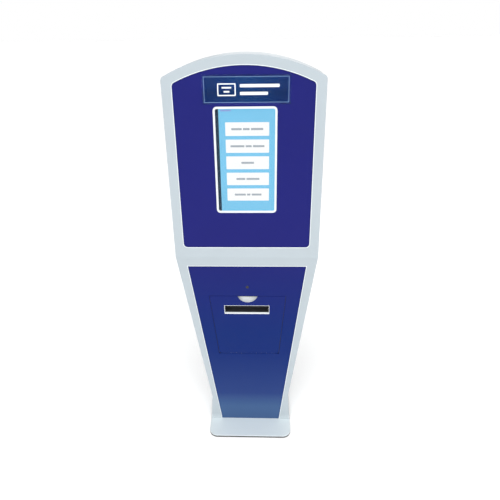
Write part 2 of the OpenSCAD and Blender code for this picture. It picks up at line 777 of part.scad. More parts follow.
// ---- Fan on the inside of the head's rear door ----
fan_t = 25;
fan_n = gasket_t - fan_t;    // inner face of the fan, its outer face is on the door
module fan_housing() {
    color("black") fan_place() difference() {
        translate([-fan_w / 2, -fan_w / 2, fan_n]) cube([fan_w, fan_w, fan_t]);
        translate([0, 0, fan_n + 3]) cylinder(d = fan_w - 4, h = fan_t);
        difference() {
            translate([0, 0, fan_n - 1]) cylinder(d = fan_w - 4, h = 6);
            translate([0, 0, fan_n - 1]) cylinder(d = 32, h = 6);
            for (a = [0:90:270]) rotate(a + 45) translate([0, -2.5, fan_n - 1]) cube([fan_w, 5, 6]);
        }
        corners(71.5, 71.5) translate([0, 0, fan_n - 1]) cylinder(d = 4.3, h = fan_t + 2);
    }
}
module fan_rotor() {
    color("black") fan_place() translate([0, 0, fan_n + 3.5]) {
        cylinder(d = 32, h = fan_t - 6);
        for (a = [0:360 / 7:359]) rotate(a)
            translate([14, -0.9, 1.5]) rotate([28, 0, 0]) cube([22.5, 1.8, 17]);
    }
}

// ---- Power inlet and switch, low on the pedestal's rear face ----
inlet_w = 27;
inlet_h = 20;
switch_w = 21;
switch_h = 27;
service_y = -(knee_z - 110) / cos(lower_rear_a);
module inlet_place() { lower_rear() translate([-35, service_y, 0]) children(); }
module switch_place() { lower_rear() translate([35, service_y, 0]) children(); }

module power_inlet() {
    color("black") inlet_place() difference() {
        union() {
            translate([0, -14, 0]) linear_extrude(2.5) round_rect(50, 28, 5);
            translate([-inlet_w / 2 + 0.2, -inlet_h / 2 + 0.2, -22])
                cube([inlet_w - 0.4, inlet_h - 0.4, 23]);
        }
        translate([-12, -8.5, -16]) cube([24, 17, 20]);
        for (x = [-20, 20]) translate([x, 0, -1]) cylinder(d = 3.3, h = 5);
    }
}
module inlet_pins() {
    color("silver") inlet_place() for (p = [[-7, -2.5], [0, 2.5], [7, -2.5]])
        translate([p[0] - 1, p[1] - 2.5, -16]) cube([2, 5, 13]);
}
module switch_frame() {
    color("black") switch_place() difference() {
        union() {
            translate([-13, -16, 0]) cube([26, 32, 2]);
            translate([-switch_w / 2 + 0.2, -switch_h / 2 + 0.2, -14])
                cube([switch_w - 0.4, switch_h - 0.4, 15]);
        }
        translate([-8, -11, -11]) cube([16, 22, 14]);
        translate([-9.2, 0, rocker_n]) rotate([0, 90, 0]) cylinder(r = pivot_r + run, h = 18.4);
    }
}
rocker_a = 8;
rocker_n = -1.5;
pivot_r = 1.2;
module power_rocker() {
    // A hollow-topped rocker about an axis along x, its lower end pressed in
    color("darkred") switch_place()
    translate([0, 0, rocker_n]) rotate([rocker_a, 0, 0]) rotate([0, 90, 0]) union() {
        translate([0, 0, -7.6]) linear_extrude(15.2)
            polygon([[4, -5], [0, -10.2], [-3.2, -10.2], [-1.6, 0], [-3.2, 10.2], [0, 10.2], [4, 5]]);
        translate([0, 0, -9]) cylinder(r = pivot_r, h = 18);
    }
}

// ---- Ticket printer on its shelf, with its own frame: y back from its front, z up from the shelf ----
printer_w = 118;
printer_l = 98;
exit_h = 48;                                  // height of the paper's path above the shelf
shelf_z = low_z(slot_top + 18) - exit_h;      // top of the shelf, so the exit meets the mouth's slit
printer_y = low_y(shelf_z + exit_h) + 52;     // front of the printer, clear of the door's mouth
roll_r = 38;
roll_w = 80;
roll_y = 52;
roll_drop = 60;
module on_shelf() { translate([0, printer_y, shelf_z]) children(); }

platen_y = 34;
platen_z = 39.5;
platen_r = 8;
axle_r = 4;
tooth_m = 1;
platen_teeth = 36;
pinion_teeth = 16;
gear_x = printer_w / 2 + 2;
gear_t = 6;
motor_a = 40;
motor_dist = tooth_m * (platen_teeth + pinion_teeth) / 2 + 0.15;
motor_y = platen_y + motor_dist * cos(motor_a);
motor_z = platen_z - motor_dist * sin(motor_a);
cover_y = 92;
cover_z = 60;

module printer_shelf() {
    z0 = shelf_z - sheet_t;
    hw = half_at(z0) - shell_step - sheet_t;
    color("silver") difference() {
        block([-hw, printer_y - 4, z0], [hw, rear_at(shelf_z) - sheet_t - 12, shelf_z]);
        on_shelf() translate([-roll_w / 2 - 4, printer_l + 1, -5]) cube([roll_w + 8, 10, 10]);
        translate([loom_x, rear_at(shelf_z) - 30, z0 - 1]) cylinder(d = 26, h = 4);
    }
}

module shelf_brackets() {
    // Angle pieces under the shelf's ends, fixed to the shell's sides
    color("silver") for (m = [0, 1]) mirror([m, 0, 0]) difference() {
        z1 = shelf_z - sheet_t;
        intersection() {
            block([0, printer_y, z1 - 24], [body_w, printer_y + 90, z1]);
            translate([0, foot_d, knee_z]) rotate([90, 0, 0]) linear_extrude(2 * foot_d)
                taper(shell_step + sheet_t, cos(lower_tilt), 30);
        }
        translate([half_at(z1) - shell_step - sheet_t - 22 - body_w, printer_y - 1, z1 - 40])
            cube([body_w, 200, 41]);
        translate([half_at(z1) - shell_step - sheet_t - 22 - 1, printer_y - 1, z1 - 40])
            cube([16, 200, 38]);
    }
}

// Spur gear outline with straight-sided teeth, a gap centred on +x when odd is 1
module gear(teeth, odd = 0) {
    r = tooth_m * teeth / 2;
    step = 360 / teeth;
    polygon([for (i = [0:teeth - 1]) for (c = [[-0.34, -1.15], [-0.12, 0.95], [0.12, 0.95], [0.34, -1.15]])
        let (a = (i + c[0] + odd / 2) * step, d = r + c[1] * tooth_m) d * [cos(a), sin(a)]]);
}

module printer_chassis() {
    color("silver") on_shelf() difference() {
        union() {
            for (x = [-printer_w / 2, printer_w / 2 - 2]) block([x, 0, 0], [x + 2, printer_l, 56]);
            block([-printer_w / 2, 0, 0], [printer_w / 2, printer_l, 2]);
            block([-printer_w / 2, 0, 2], [printer_w / 2, 2, 26]);
            // hinge ears for the cover
            for (x = [-printer_w / 2, printer_w / 2 - 2])
                block([x, cover_y - 6, 50], [x + 2, cover_y + 6, cover_z + 6]);
        }
        translate([-printer_w, platen_y, platen_z]) rotate([0, 90, 0])
            cylinder(r = axle_r + run, h = 2 * printer_w);
        translate([printer_w / 2 - 4, motor_y, motor_z]) rotate([0, 90, 0]) cylinder(r = 5, h = 8);
        translate([-printer_w, cover_y, cover_z]) rotate([0, 90, 0])
            cylinder(r = 2 + run, h = 2 * printer_w);
        translate([-25, 25, -1]) cube([50, 40, 4]);
        translate([printer_w / 2 - 18, -1, 14]) rotate([-90, 0, 0]) cylinder(d = 7, h = 4);
    }
}

module platen_roller() {
    color("black") on_shelf()
    translate([-roll_w / 2 - 2, platen_y, platen_z]) rotate([0, 90, 0]) difference() {
        cylinder(r = platen_r, h = roll_w + 4);
        translate([0, 0, -1]) cylinder(r = axle_r, h = roll_w + 6);
    }
}
module platen_axle() {
    color("silver") on_shelf() translate([-printer_w / 2 - 3, platen_y, platen_z]) rotate([0, 90, 0])
        cylinder(r = axle_r, h = gear_x + gear_t + printer_w / 2 + 5);
}
module platen_gear() {
    color("ivory") on_shelf()
    translate([gear_x, platen_y, platen_z]) rotate([0, 90, 0]) linear_extrude(gear_t)
        difference() {
            rotate(90 - motor_a) gear(platen_teeth);
            circle(r = axle_r);
            for (a = [0:60:300]) rotate(a) translate([10.5, 0]) circle(d = 5);
        }
}
module motor_pinion() {
    color("gold") on_shelf() translate([gear_x - 0.5, motor_y, motor_z]) rotate([0, 90, 0]) {
        linear_extrude(gear_t + 1) rotate(90 - motor_a) gear(pinion_teeth, 1 - pinion_teeth % 2);
        translate([0, 0, -8]) cylinder(r = 2.5, h = 8);
    }
}
module feed_motor() {
    color("dimgray") on_shelf()
    translate([printer_w / 2 - 2, motor_y, motor_z]) rotate([0, -90, 0]) difference() {
        cylinder(r = 14, h = 24);
        translate([0, 0, -1]) cylinder(r = 3, h = 8);
    }
}

module print_head() {
    color("dimgray") on_shelf() block([-roll_w / 2 - 3, platen_y - 6, platen_z + platen_r + 0.4],
                                      [roll_w / 2 + 3, platen_y + 10, cover_z - 2]);
}
module printer_cover() {
    color("dimgray") on_shelf() difference() {
        union() {
            block([-printer_w / 2 + 3, 22, cover_z - 2], [printer_w / 2 - 3, cover_y, cover_z + 1]);
            translate([-printer_w / 2 + 3, cover_y, cover_z]) rotate([0, 90, 0])
                cylinder(r = 4, h = printer_w - 6);
            block([-20, 14, cover_z - 1], [20, 22, cover_z + 1]);
        }
        translate([-printer_w, cover_y, cover_z]) rotate([0, 90, 0])
            cylinder(r = 2 + run, h = 2 * printer_w);
    }
}
module cover_shaft() {
    color("silver") on_shelf() translate([-printer_w / 2 - 2, cover_y, cover_z]) rotate([0, 90, 0])
        cylinder(r = 2, h = printer_w + 4);
}

// Cutter: a fixed block with the paper's slit, and a blade that slides down in front of it
module cutter_block() {
    color("dimgray") on_shelf() difference() {
        block([-printer_w / 2 + 2, 8, 26], [printer_w / 2 - 2, 20, 56]);
        translate([-roll_w / 2 - 2, 7, exit_h - 2]) cube([roll_w + 4, 14, 4]);
    }
}
module cutter_blade() {
    color("silver") on_shelf() union() {
        translate([-roll_w / 2 - 2, 6.6, exit_h + 3]) cube([roll_w + 4, 1, 10]);
        for (x = [-roll_w / 2 - 8, roll_w / 2 + 2]) translate([x, 6.6, exit_h - 6]) cube([6, 1, 19]);
    }
}
module cutter_guides() {
    color("silver") on_shelf() for (x = [-1, 1]) difference() {
        translate([x * (roll_w / 2 + 10.5) - 4.5, 4, 30]) cube([9, 4, 34]);
        translate([x * (roll_w / 2 + 7) - 5.2, 6.2, 29]) cube([10.4, 1.8, 36]);
    }
}
module feed_button() {
    color("seagreen") on_shelf() translate([printer_w / 2 - 18, -3, 14]) rotate([-90, 0, 0]) union() {
        cylinder(d = 9, h = 1.6);
        cylinder(d = 6, h = 9);
    }
}
module button_board() {
    color("darkgreen") on_shelf() difference() {
        translate([printer_w / 2 - 32, 2, 4]) cube([28, 8, 20]);
        translate([printer_w / 2 - 18, 1, 14]) rotate([-90, 0, 0]) cylinder(d = 7, h = 7);
    }
}

// Paper roll on its spindle, hung in two plates under the shelf
module roll_line(x) { on_shelf() translate([x, roll_y, -roll_drop]) rotate([0, 90, 0]) children(); }
module roll_plates() {
    color("silver") difference() {
        for (x = [-roll_w / 2 - 12, roll_w / 2 + 10]) on_shelf()
            block([x, roll_y - 16, -roll_drop - 14], [x + 2, roll_y + 16, -sheet_t]);
        roll_line(-roll_w) cylinder(r = 6 + run, h = 2 * roll_w);
    }
}
module roll_spindle() {
    color("white") roll_line(-roll_w / 2 - 14) union() {
        cylinder(r = 6, h = roll_w + 28);
        translate([0, 0, 10.5]) cylinder(r = 22, h = 3);
        translate([0, 0, roll_w + 14.5]) cylinder(r = 22, h = 3);
    }
}
module paper_roll() {
    color("white") roll_line(-roll_w / 2) difference() {
        cylinder(r = roll_r, h = roll_w);
        translate([0, 0, -1]) cylinder(r = 8, h = roll_w + 2);
    }
}
module roll_core() {
    color("tan") roll_line(-roll_w / 2) difference() {
        cylinder(r = 8, h = roll_w);
        translate([0, 0, -1]) cylinder(r = 6, h = roll_w + 2);
    }
}

// ---- Power and sound inside ----
psu_w = 98;
psu_l = 42;
psu_h = 150;
psu_z = foot_h + base_t + 110;
module power_supply() {
    color("silver") translate([-120, rear_at(psu_z) - 75, psu_z]) difference() {
        cube([psu_w, psu_l, psu_h]);
        for (i = [0:9], j = [0:5]) translate([12 + j * 14, -1, 14 + i * 13]) rotate([-90, 0, 0])
            cylinder(d = 6, h = 3);
    }
}
module supply_bracket() {
    // L-shaped plate that stands on the base plate and carries the supply
    color("silver") translate([-124, rear_at(psu_z) - 75 - 2, foot_h + base_t]) union() {
        cube([psu_w + 8, 2, psu_z - foot_h - base_t + psu_h]);
        cube([psu_w + 8, 24, 2]);
    }
}
module speaker() {
    color("dimgray") on_bracket() translate([stud_x / 2 - 40, -160, -24]) union() {
        translate([-30, -18, 16]) cube([60, 36, 8]);
        cylinder(d = 30, h = 16);
    }
}

// Wiring from the power inlet up past the printer to the head, as one clipped run
loom_r = 5;
loom_knot = 6;    // clip at each bend
loom_x = -180;
function loom_path() = [
    [loom_x + 25, rear_at(120) - 40, 120], [loom_x + 20, rear_at(330) - 45, 330],
    [loom_x, rear_at(shelf_z) - 30, shelf_z], [loom_x, knee_y + 120, knee_z + 60],
    [screen_x - pc_w / 2 - loom_knot - 0.3, knee_y + 50, knee_z + 240]
];
module wiring_loom() {
    p = loom_path();
    color("black") for (i = [0:len(p) - 2]) let (v = p[i + 1] - p[i], l = norm(v)) {
        translate(p[i]) rotate([0, acos(v[2] / l), atan2(v[1], v[0])]) cylinder(r = loom_r, h = l);
        translate(p[i + 1]) sphere(loom_knot);
    }
}

// ---- Fasteners ----
module fascia_screws() {
    // Screws near the side edges of the rear face
    color("silver") {
        lower_rear() for (x = [-1, 1], y = [-60, lower_door_y - 40])
            translate([x * (half_at(knee_z + y) - 22), y, 0]) cylinder(d1 = 9, d2 = 7, h = 2);
        head_rear() for (x = [-1, 1], y = [30, head_h - 60])
            translate([x * (body_w / 2 - 22), y, 0]) cylinder(d1 = 9, d2 = 7, h = 2);
    }
}
module bracket_nuts() {
    color("silver") on_bracket() corners(stud_x, stud_h)
        translate([0, 0, -4]) cylinder(d = 9, h = 4, $fn = 6);
}
module base_nuts() {
    // Studs and nuts that clamp the base plate to the foot
    color("silver") translate([0, anchor_cy, foot_h + base_t]) corners(anchor_x + 60, anchor_y - 20)
        cylinder(d = 17, h = 8, $fn = 6);
}

// ---- Pieces that share a node ----
module clamp_nuts() {
    base_nuts();
    bracket_nuts();
}
module circuit_boards() {
    driver_board();
    button_board();
}
module both_rears(part) {
    lower_rear() door_hinges(part, rear_door_w, rear_door_h, lower_door_y);
    head_rear() door_hinges(part, head_door_w, head_door_h, head_door_s);
}
module rear_hinges() {
    color("silver") both_rears(0);
    color("silver") both_rears(2);
}
module rear_gaskets() {
    color("black") lower_rear() rear_gasket(rear_door_w, rear_door_h, lower_door_y);
    color("black") head_rear() rear_gasket(head_door_w, head_door_h, head_door_s);
}
module lower_door_fittings() {
    color("silver") lower_rear() door_hinges(1, rear_door_w, rear_door_h, lower_door_y);
    color("silver") lower_lock_place() rear_lock(0);
}
module head_door_fittings() {
    color("silver") head_rear() door_hinges(1, head_door_w, head_door_h, head_door_s);
    color("silver") head_lock_place() rear_lock(0);
}
module power_panel() {
    power_inlet();
    inlet_pins();
    switch_frame();
}
module shelf() {
    printer_shelf();
    shelf_brackets();
}
module printer_frame() {
    printer_chassis();
    cutter_guides();
    cover_shaft();
    roll_plates();
}
module roll() {
    paper_roll();
    roll_core();
}
module supply() {
    power_supply();
    supply_bracket();
}

foot_pan();
ballast_plate();
foot_pads();
base_plate();
clamp_nuts();
front_frame();
head_panel();
lower_panel();
carrier();  // lower_carrier
head_shell();
pedestal_shell();
screen_trim();
touch_glass();
lcd_module();
lcd_bracket();
circuit_boards();
mini_pc();
speaker();
sign_print();
sign_holder();
hinge_fixed();  // door_hinge_fixed
hinge_moving();  // door_hinge_moving
hinge_pin();  // door_hinge_pin
door_skin();
door_tray();
finger_cup();
slot_liner();
ticket_mouth();
lock_body();
lock_plug();
lock_cam();
lower_rear_door();
lower_door_fittings();
lower_lock_plug();
head_rear_door();
head_door_fittings();
head_lock_plug();
rear_hinges();
rear_gaskets();
fan_housing();
fan_rotor();
power_panel();
power_rocker();
shelf();  // printer_shelf
printer_frame();
platen_roller();
platen_axle();
platen_gear();
motor_pinion();
feed_motor();
print_head();
printer_cover();
cutter_block();
cutter_blade();
feed_button();
roll_spindle();
roll();  // paper_roll
supply();  // power_supply
wiring_loom();
fascia_screws();
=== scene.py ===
"""Looks of a queue-ticket kiosk around its CAD frame.

Painted steel and polished acrylic with softened edges, a lit touch screen, a printed sign behind a
clear cover, pale strips round the windows as painted highlights, and a plain studio.
"""

import json
import math

import bmesh
import bpy
from mathutils import Matrix, Vector


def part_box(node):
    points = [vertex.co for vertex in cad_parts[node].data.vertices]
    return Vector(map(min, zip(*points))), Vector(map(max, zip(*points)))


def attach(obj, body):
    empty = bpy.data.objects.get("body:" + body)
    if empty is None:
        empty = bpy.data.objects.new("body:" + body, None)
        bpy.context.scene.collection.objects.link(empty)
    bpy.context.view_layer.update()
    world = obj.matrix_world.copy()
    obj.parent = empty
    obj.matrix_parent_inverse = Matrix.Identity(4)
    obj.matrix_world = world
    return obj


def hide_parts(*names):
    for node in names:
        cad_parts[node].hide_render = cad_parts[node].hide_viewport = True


MM = 0.001
SHARP = math.radians(28)   # edges that turn more than this are rounded
SAME = 0.002 * MM          # points closer than this are one
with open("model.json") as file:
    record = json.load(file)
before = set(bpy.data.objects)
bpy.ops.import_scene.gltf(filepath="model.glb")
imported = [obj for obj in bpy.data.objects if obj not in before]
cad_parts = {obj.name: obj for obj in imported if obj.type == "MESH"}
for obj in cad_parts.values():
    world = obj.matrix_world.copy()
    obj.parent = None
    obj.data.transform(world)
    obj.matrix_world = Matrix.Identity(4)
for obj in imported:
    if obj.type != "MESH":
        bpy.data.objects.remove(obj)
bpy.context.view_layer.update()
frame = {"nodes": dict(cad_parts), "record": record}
NODES = frame["nodes"]
SLOT_OF = {part["node"]: part["material_slot"] for part in frame["record"]["subparts"]}
BODY_OF = {node: body for body, nodes in frame["record"]["behaviour"]["bodies"].items() for node in nodes}


# ---- Materials ----
class Surface:
    """A Principled material, with short ways to add the nodes that drive it."""

    def __init__(self, name, **sockets):
        self.material = bpy.data.materials.new(name)
        self.material.use_nodes = True
        self.tree = self.material.node_tree
        self.shader = self.tree.nodes["Principled BSDF"]
        self.place = self.add("TexCoord").outputs["Object"]
        for key, value in sockets.items():
            self.shader.inputs[key.replace("_", " ")].default_value = value

    def feed(self, socket, value):
        if isinstance(value, bpy.types.NodeSocket):
            self.tree.links.new(value, socket)
        else:
            socket.default_value = value

    def add(self, kind, inputs=None, **settings):
        made = self.tree.nodes.new("ShaderNode" + kind)
        for key, value in settings.items():
            setattr(made, key, value)
        for key, value in (inputs or {}).items():
            self.feed(made.inputs[key], value)
        return made

    def stretched(self, stretch):
        return self.add("Mapping", {"Vector": self.place, "Scale": stretch}).outputs["Vector"]

    def noise(self, scale, detail=2.0, stretch=(1, 1, 1)):
        """Cloudy noise with scale features to the metre, 0 to 1."""
        inputs = {"Vector": self.stretched(stretch), "Scale": scale, "Detail": detail}
        return self.add("TexNoise", inputs).outputs["Fac"]

    def span(self, value, low, high, start=0.3, end=0.7):
        """value from start to end, remapped to low to high."""
        inputs = {"Value": value, "From Min": start, "From Max": end, "To Min": low, "To Max": high}
        return self.add("MapRange", inputs).outputs["Result"]

    def math(self, operation, *values):
        return self.add("Math", dict(enumerate(values)), operation=operation).outputs["Value"]

    def mix(self, factor, a, b, blend="MIX"):
        """Colour between a and b."""
        inputs = {"Factor": factor, 6: a, 7: b}
        return self.add("Mix", inputs, data_type="RGBA", blend_type=blend).outputs[2]

    def drift(self, color, spread, scale):
        """The colour, a little darker and lighter in soft patches."""
        dark, light = ([c * (1 + side * spread) for c in color] + [1] for side in (-1, 1))
        self.color = self.mix(self.span(self.noise(scale, 3.0), 0, 1), dark, light)
        self.feed(self.shader.inputs["Base Color"], self.color)

    def over(self, factor, color):
        """Lays another colour over the base colour."""
        self.color = self.mix(factor, self.color, list(color) + [1])
        self.feed(self.shader.inputs["Base Color"], self.color)

    def rough(self, low, high, scale, stretch=(1, 1, 1)):
        value = self.span(self.noise(scale, 3.0, stretch), low, high)
        self.feed(self.shader.inputs["Roughness"], value)

    def lift(self, height, depth, strength=1.0):
        """Bump of that depth in metres, on top of any bump added before."""
        inputs = {"Height": height, "Distance": depth, "Strength": strength}
        normal = self.shader.inputs["Normal"]
        if normal.links:
            inputs["Normal"] = normal.links[0].from_socket
        self.feed(normal, self.add("Bump", inputs).outputs["Normal"])

    def edges(self, radius):
        """About 1 on sharp edges and 0 on flat stretches."""
        soft = self.add("Bevel", {"Radius": radius}, samples=4).outputs["Normal"]
        flat = self.add("NewGeometry").outputs["True Normal"]
        dot = self.add("VectorMath", {0: soft, 1: flat}, operation="DOT_PRODUCT").outputs["Value"]
        return self.span(dot, 1, 0, 0.75, 0.995)

    def height(self):
        """World height in metres."""
        return self.add("SeparateXYZ", {"Vector": self.place}).outputs["Z"]


FOOT_PAINTED_LIGHT = 0.014, 0.05       # heights between which the painted light on the foot fades out
FOOT_RIM_PAINTED_SHADE = 0.0088, 0.0098   # heights between which the painted shade on its lower rim fades out


def powder_coat(name, color, peel=0.00003, foot=None):
    """Satin powder coat: orange peel, a painted highlight on the edges, a little dust low down.

    foot is the lighter colour of painted light on the foot, and the foot's lower rim gets a painted shade.
    """
    s = Surface(name, IOR=1.5)
    s.drift(color, 0.02, 5.0)
    # painted highlight: sharp edges lighter, standing in for the light they catch
    s.over(s.math("MULTIPLY", s.edges(1.2 * MM), 0.5), [min(1, c * 1.35) for c in color])
    if foot:
        # painted light: the foot and the fascia's lowest part lighter, for the light that the foot's top
        # catches
        s.over(s.span(s.height(), 1, 0, *FOOT_PAINTED_LIGHT), foot)
        # painted shade: the foot's lower rim darkened, for the shadow along the foot's side and under it
        s.over(s.span(s.height(), 1, 0, *FOOT_RIM_PAINTED_SHADE), (0.03, 0.03, 0.028))
    dust = s.math("MULTIPLY", s.span(s.height(), 0.06, 0, 0.0, 0.20), s.noise(40.0, 4.0))
    s.over(dust, (0.56, 0.54, 0.50))
    s.rough(0.30, 0.40, 30.0)
    s.lift(s.noise(1100.0, 2.0), peel, 0.5)
    s.lift(s.noise(9.0, 1.0), 0.0004, 0.12)
    return s.material


def blue_acrylic():
    """Polished blue acrylic with faint wiping marks, and a painted reflection that makes it paler towards the
    foot.
    """
    s = Surface("blue_acrylic", IOR=1.45, Specular_IOR_Level=0.13)
    s.drift((0.0120, 0.0135, 0.142), 0.04, 3.0)
    # a little greener below the knee; lower down, a painted reflection of the pale floor and foot makes it
    # paler
    s.over(s.span(s.height(), 1, 0, 0.55, 0.95), (0.0030, 0.0190, 0.140))
    s.over(s.span(s.height(), 0.30, 0, 0.12, 0.45), (0.055, 0.110, 0.27))
    s.over(s.span(s.height(), 0.62, 0, 0.10, 0.19), (0.065, 0.135, 0.26))
    # painted highlight: sharp edges a brighter blue
    s.over(s.math("MULTIPLY", s.edges(0.6 * MM), 0.12), (0.02, 0.03, 0.26))
    s.rough(0.035, 0.085, 14.0, (1.0, 1.0, 3.0))
    s.lift(s.noise(2.4, 1.0), 0.0012, 0.10)
    return s.material


def moulded(name, color, rough=(0.3, 0.42), grain=0.00002, scale=2600.0, spread=0.05, **sockets):
    """Moulded plastic with a fine skin."""
    s = Surface(name, IOR=1.5, **sockets)
    s.drift(color, spread, 22.0)
    # painted highlight: sharp edges lighter
    s.over(s.math("MULTIPLY", s.edges(0.6 * MM), 0.3), [min(1, c * 1.3 + 0.01) for c in color])
    s.rough(*rough, 60.0)
    s.lift(s.noise(scale, 2.0), grain, 0.6)
    return s.material


def metal(name, color, rough=(0.28, 0.42), brushed=(1, 1, 30), spread=0.08, scale=260.0):
    """Plated or brushed metal with fine lines across it."""
    s = Surface(name, Metallic=1.0)
    s.drift(color, spread, 12.0)
    s.over(s.span(s.noise(scale, 4.0, brushed), 0, 0.35), [c * 0.72 for c in color])
    s.rough(*rough, 40.0)
    s.lift(s.noise(scale * 3, 3.0, brushed), 0.00001, 0.5)
    return s.material


def galvanised(name, color):
    """Zinc-plated sheet with faint spangles."""
    s = Surface(name, Metallic=1.0)
    s.drift(color, 0.05, 9.0)
    cells = s.add("TexVoronoi", {"Vector": s.place, "Scale": 120.0}, feature="F1").outputs["Color"]
    spangle = s.add("RGBToBW", {"Color": cells}).outputs["Val"]
    s.over(s.span(spangle, 0, 0.22, 0, 1), [c * 0.7 for c in color])
    s.rough(0.30, 0.48, 70.0)
    s.lift(s.noise(700.0, 3.0), 0.00001, 0.4)
    return s.material


def clear_plastic(name, color, alpha):
    """Clear acrylic or glass, seen as a thin tinted gloss."""
    s = Surface(name, IOR=1.49, Alpha=alpha)
    s.drift(color, 0.02, 6.0)
    s.rough(0.02, 0.05, 20.0)
    s.lift(s.noise(3.0, 1.0), 0.0005, 0.05)
    s.material.surface_render_method = "BLENDED"
    return s.material


def circuit_board():
    """Green solder mask with lighter copper tracks."""
    s = Surface("circuit_green", IOR=1.5, Coat_Weight=0.4, Coat_Roughness=0.1)
    s.drift((0.010, 0.105, 0.040), 0.12, 60.0)
    inputs = {"Vector": s.stretched((1, 1, 0.35)), "Scale": 210.0}
    cells = s.add("TexVoronoi", inputs, feature="DISTANCE_TO_EDGE", distance="EUCLIDEAN")
    tracks = cells.outputs["Distance"]
    s.over(s.span(tracks, 0.8, 0, 0.02, 0.05), (0.05, 0.26, 0.08))
    s.rough(0.25, 0.40, 90.0)
    s.lift(tracks, 0.00003, 0.4)
    return s.material


def rubber():
    s = Surface("rubber", IOR=1.52, Specular_IOR_Level=0.35)
    s.drift((0.018, 0.018, 0.019), 0.20, 40.0)
    s.rough(0.62, 0.82, 80.0)
    s.lift(s.noise(1800.0, 3.0), 0.00004, 0.7)
    return s.material


def paper():
    """Thermal paper: a faint fibre grain, and winding lines on the roll's ends."""
    s = Surface("paper", IOR=1.4, Specular_IOR_Level=0.3)
    s.drift((0.86, 0.86, 0.83), 0.03, 30.0)
    low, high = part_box("paper_roll")
    centre = (low + high) / 2
    moved = s.add("VectorMath", {0: s.place, 1: -centre}, operation="ADD").outputs["Vector"]
    flat = s.add("VectorMath", {0: moved, 1: (0, 1, 1)}, operation="MULTIPLY").outputs["Vector"]
    radius = s.add("VectorMath", {0: flat}, operation="LENGTH").outputs["Value"]
    rings = s.math("SINE", s.math("MULTIPLY", radius, 9000.0))
    s.over(s.span(rings, 0, 0.22, 0.2, 1.0), (0.55, 0.55, 0.52))
    s.rough(0.5, 0.62, 120.0)
    s.lift(s.noise(900.0, 4.0), 0.00003, 0.4)
    return s.material


def sign_ink():
    """Printed sign ground: navy at the ends, a brighter blue in the middle."""
    low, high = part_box("sign_print")
    s = Surface("sign_blue", IOR=1.49, Specular_IOR_Level=0.1)
    s.drift((0.0055, 0.0215, 0.155), 0.05, 16.0)
    across = s.add("SeparateXYZ", {"Vector": s.place}).outputs["X"]
    middle, half = (low.x + high.x) / 2, (high.x - low.x) / 2
    off = s.math("ABSOLUTE", s.math("SUBTRACT", across, middle))
    fade = {"Value": off, "From Min": 0.0, "From Max": half, "To Min": 0.85, "To Max": 0.0}
    glow = s.add("MapRange", fade, interpolation_type="SMOOTHSTEP").outputs["Result"]
    s.over(glow, (0.006, 0.052, 0.225))
    s.rough(0.10, 0.18, 50.0)
    s.lift(s.noise(2200.0, 1.0), 0.000004, 0.4)
    return s.material


def printed(name, color, rough=(0.25, 0.35), level=0.5):
    """Opaque ink, faintly uneven."""
    s = Surface(name, IOR=1.49, Specular_IOR_Level=level)
    s.drift(color, 0.03, 90.0)
    s.rough(*rough, 90.0)
    s.lift(s.noise(3000.0, 1.0), 0.000004, 0.4)
    return s.material


def lit(name, color, power=1.0, shade=0.05, centre=None, reach=0.25):
    """Lit part of the display: backlight that fades a little towards the edges, a faint pixel mesh."""
    s = Surface(name, IOR=1.5, Roughness=0.12)
    dim = [c * (1 - shade) for c in color] + [1]
    s.color = s.mix(s.span(s.noise(11.0, 2.0), 0, 1), dim, list(color) + [1])
    if centre is not None:
        away = s.add("VectorMath", {0: s.place, 1: centre}, operation="DISTANCE").outputs["Value"]
        s.color = s.mix(s.span(away, 0, 0.22, 0.05, reach), s.color, [c * 0.75 for c in color] + [1])
    s.feed(s.shader.inputs["Emission Color"], s.color)
    s.shader.inputs["Emission Strength"].default_value = power
    s.shader.inputs["Base Color"].default_value = (0.02, 0.02, 0.02, 1)
    s.lift(s.noise(4200.0, 0.0), 0.000003, 0.3)
    return s.material


def braided():
    """Woven sleeve over the wiring."""
    s = Surface("loom_sleeve", IOR=1.5, Specular_IOR_Level=0.4)
    s.drift((0.020, 0.020, 0.022), 0.15, 60.0)
    waves = []
    for side in (1, -1):
        inputs = {"Vector": s.stretched((1, side, 1)), "Scale": 160.0}
        waves.append(s.add("TexWave", inputs, bands_direction="DIAGONAL").outputs["Fac"])
    weave = s.math("MULTIPLY", *waves)
    s.over(s.span(weave, 0, 0.5, 0.2, 0.8), (0.07, 0.07, 0.075))
    s.rough(0.45, 0.65, 200.0)
    s.lift(weave, 0.0003, 0.6)
    return s.material


